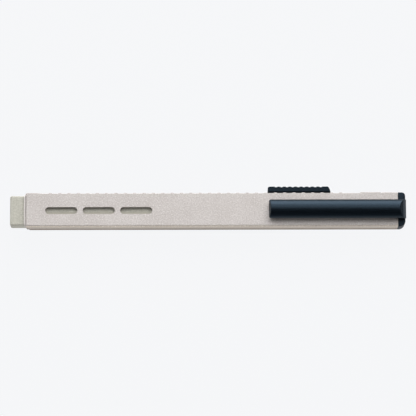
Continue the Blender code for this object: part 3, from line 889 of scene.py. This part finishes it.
def floor_paint():
    """A self-lit pale skin, with a painted shadow that keeps it dark where the part covers it."""
    nodes = Nodes("pale_floor")
    shade_start, shade_full = 0.4, 1.6    # how far inside the part's outline the glow dies away
    shares = []
    for axis, low, high in (("X", MOUTH_X, CAP_HIGH.x), ("Y", LOWER_Y, UPPER_Y)):
        middle, half = (low + high) / 2, (high - low) / 2
        away = nodes.maths("ABSOLUTE", nodes.maths("SUBTRACT", nodes.along(axis), middle * MM), 0.0)
        shares.append(nodes.spread(away, (half - shade_full) * MM, (half - shade_start) * MM, 1.0, 0.0))
    # Painted shadow: the glow dies away inside the part's outline.
    painted_contact_shadow = nodes.maths("MULTIPLY", *shares)
    glow = nodes.maths("MULTIPLY", nodes.maths("SUBTRACT", 1.0, painted_contact_shadow), FLOOR_GLOW)
    nodes.link(glow, nodes.shader.inputs["Emission Strength"])
    nodes.shader.inputs["Base Color"].default_value = (0.015, 0.015, 0.015, 1.0)
    nodes.shader.inputs["Roughness"].default_value = 0.9
    nodes.shader.inputs["Specular IOR Level"].default_value = 0.0
    nodes.shader.inputs["Emission Color"].default_value = (0.974, 0.983, 1.0, 1.0)
    return nodes.material


def area_light(name, azimuth, elevation, distance, size, power):
    """A rectangular softbox at a bearing round the part, aimed at its middle."""
    data = bpy.data.lights.new(name, "AREA")
    data.shape = "RECTANGLE"
    data.size, data.size_y = size
    data.energy = power
    light = bpy.data.objects.new(name, data)
    a, e = math.radians(azimuth), math.radians(elevation)
    away = Vector((math.sin(a) * math.cos(e), -math.cos(a) * math.cos(e), math.sin(e)))
    light.location = away * distance
    light.rotation_mode = "QUATERNION"
    light.rotation_quaternion = away.to_track_quat("Z", "Y")
    bpy.context.scene.collection.objects.link(light)


# The room's colour by the upward part of the direction: bright round the horizon, black overhead.
ROOM_STOPS = (
    (0.0, (1.15, 1.05, 0.92)), (0.2, (1.10, 1.03, 0.94)), (0.35, (0.72, 0.70, 0.68)),
    (0.5, (0.42, 0.42, 0.42)), (0.7, (0.27, 0.27, 0.28)), (0.8, (0.16, 0.16, 0.17)),
    (0.9, (0.07, 0.07, 0.075)), (1.0, (0.03, 0.03, 0.035)),
)
# Towards both ends of the part the room is dimmed, so that the dark plastic keeps its black core.
DIM_START, DIM_FULL, DIM_LEVEL = 0.45, 0.9, 0.2


def make_world():
    """A studio room whose light depends only on the direction."""
    world = bpy.data.worlds.new("studio")
    bpy.context.scene.world = world
    world.use_nodes = True
    tree = world.node_tree
    background = tree.nodes["Background"]
    direction = tree.nodes.new("ShaderNodeTexCoord").outputs["Generated"]
    split = tree.nodes.new("ShaderNodeSeparateXYZ")
    tree.links.new(direction, split.inputs["Vector"])
    ramp = tree.nodes.new("ShaderNodeValToRGB")
    elements = ramp.color_ramp.elements
    for element, (position, colour) in zip(elements, (ROOM_STOPS[0], ROOM_STOPS[-1])):
        element.position = position
        element.color = (*colour, 1.0)
    for position, colour in ROOM_STOPS[1:-1]:
        elements.new(position).color = (*colour, 1.0)
    tree.links.new(split.outputs["Z"], ramp.inputs["Fac"])
    sideways = tree.nodes.new("ShaderNodeMath")
    sideways.operation = "ABSOLUTE"
    tree.links.new(split.outputs["X"], sideways.inputs[0])
    dimmed = tree.nodes.new("ShaderNodeMapRange")
    dimmed.inputs["From Min"].default_value = DIM_START
    dimmed.inputs["From Max"].default_value = DIM_FULL
    dimmed.inputs["To Min"].default_value = 1.0
    dimmed.inputs["To Max"].default_value = DIM_LEVEL
    tree.links.new(sideways.outputs["Value"], dimmed.inputs["Value"])
    tree.links.new(ramp.outputs["Color"], background.inputs["Color"])
    tree.links.new(dimmed.outputs["Result"], background.inputs["Strength"])


def make_camera():
    """A long lens, ten degrees off square towards the lower side."""
    frame_width = 0.1331
    distance = 1.0
    tilt = 10.0
    roll = 0.11
    data = bpy.data.cameras.new("camera")
    data.sensor_width = 36.0
    data.lens = data.sensor_width * distance / frame_width
    camera = bpy.data.objects.new("camera", data)
    e = math.radians(90.0 - tilt)
    back = Vector((0.0, -math.cos(e), math.sin(e)))
    target = Vector((0.00004, 0.00055, DEPTH * MM))
    camera.location = target + back * distance
    camera.rotation_mode = "QUATERNION"
    camera.rotation_quaternion = Quaternion(back, math.radians(-roll)) @ back.to_track_quat("Z", "Y")
    data.clip_start, data.clip_end = 0.01, 20.0
    bpy.context.scene.collection.objects.link(camera)
    bpy.context.scene.camera = camera


def make_pieces():
    """Every visible piece, with the colours of its material as base, darker clouds and paler flecks."""
    cover = pearl_plastic("cover_pearl_grey", (0.585, 0.55, 0.53), (0.49, 0.45, 0.43), (0.70, 0.67, 0.65))
    shell = pearl_plastic("shell_pearl_grey", (0.63, 0.56, 0.49), (0.53, 0.465, 0.40), (0.74, 0.68, 0.61))
    collar = pearl_plastic("collar_pearl_grey", (0.66, 0.63, 0.61), (0.60, 0.57, 0.55), (0.74, 0.71, 0.69))
    navy = (0.0012, 0.002, 0.003)
    make_barrel(shell, cover)
    make_collar(collar)
    make_stick(vinyl("eraser_vinyl"))
    make_slider(dark_plastic("navy_satin", (0.002, 0.003, 0.004), 0.32, 0.44, 0.34, UNDERCUT_TOP_Y))
    make_cap(dark_plastic("navy_cap", navy, 0.55, 0.68, 0.46))
    make_clip(dark_plastic("navy_gloss", navy, 0.24, 0.34, 0.46))
    dress_hidden_node("eraser_carriage", acetal("carriage_acetal"), 0.15)
    steel = strip_steel("spring_steel")
    for node in ("grip_jaw_front", "grip_jaw_back", "click_spring"):
        dress_hidden_node(node, steel, 0.04)


def main():
    bpy.context.scene.view_settings.view_transform = "Standard"
    make_pieces()
    make_floor()
    make_world()
    area_light("key", 176, 39, 0.7, (1.3, 0.48), 8.1)
    area_light("upper", 180, 69, 0.7, (1.0, 0.20), 1.2)
    make_camera()


main()
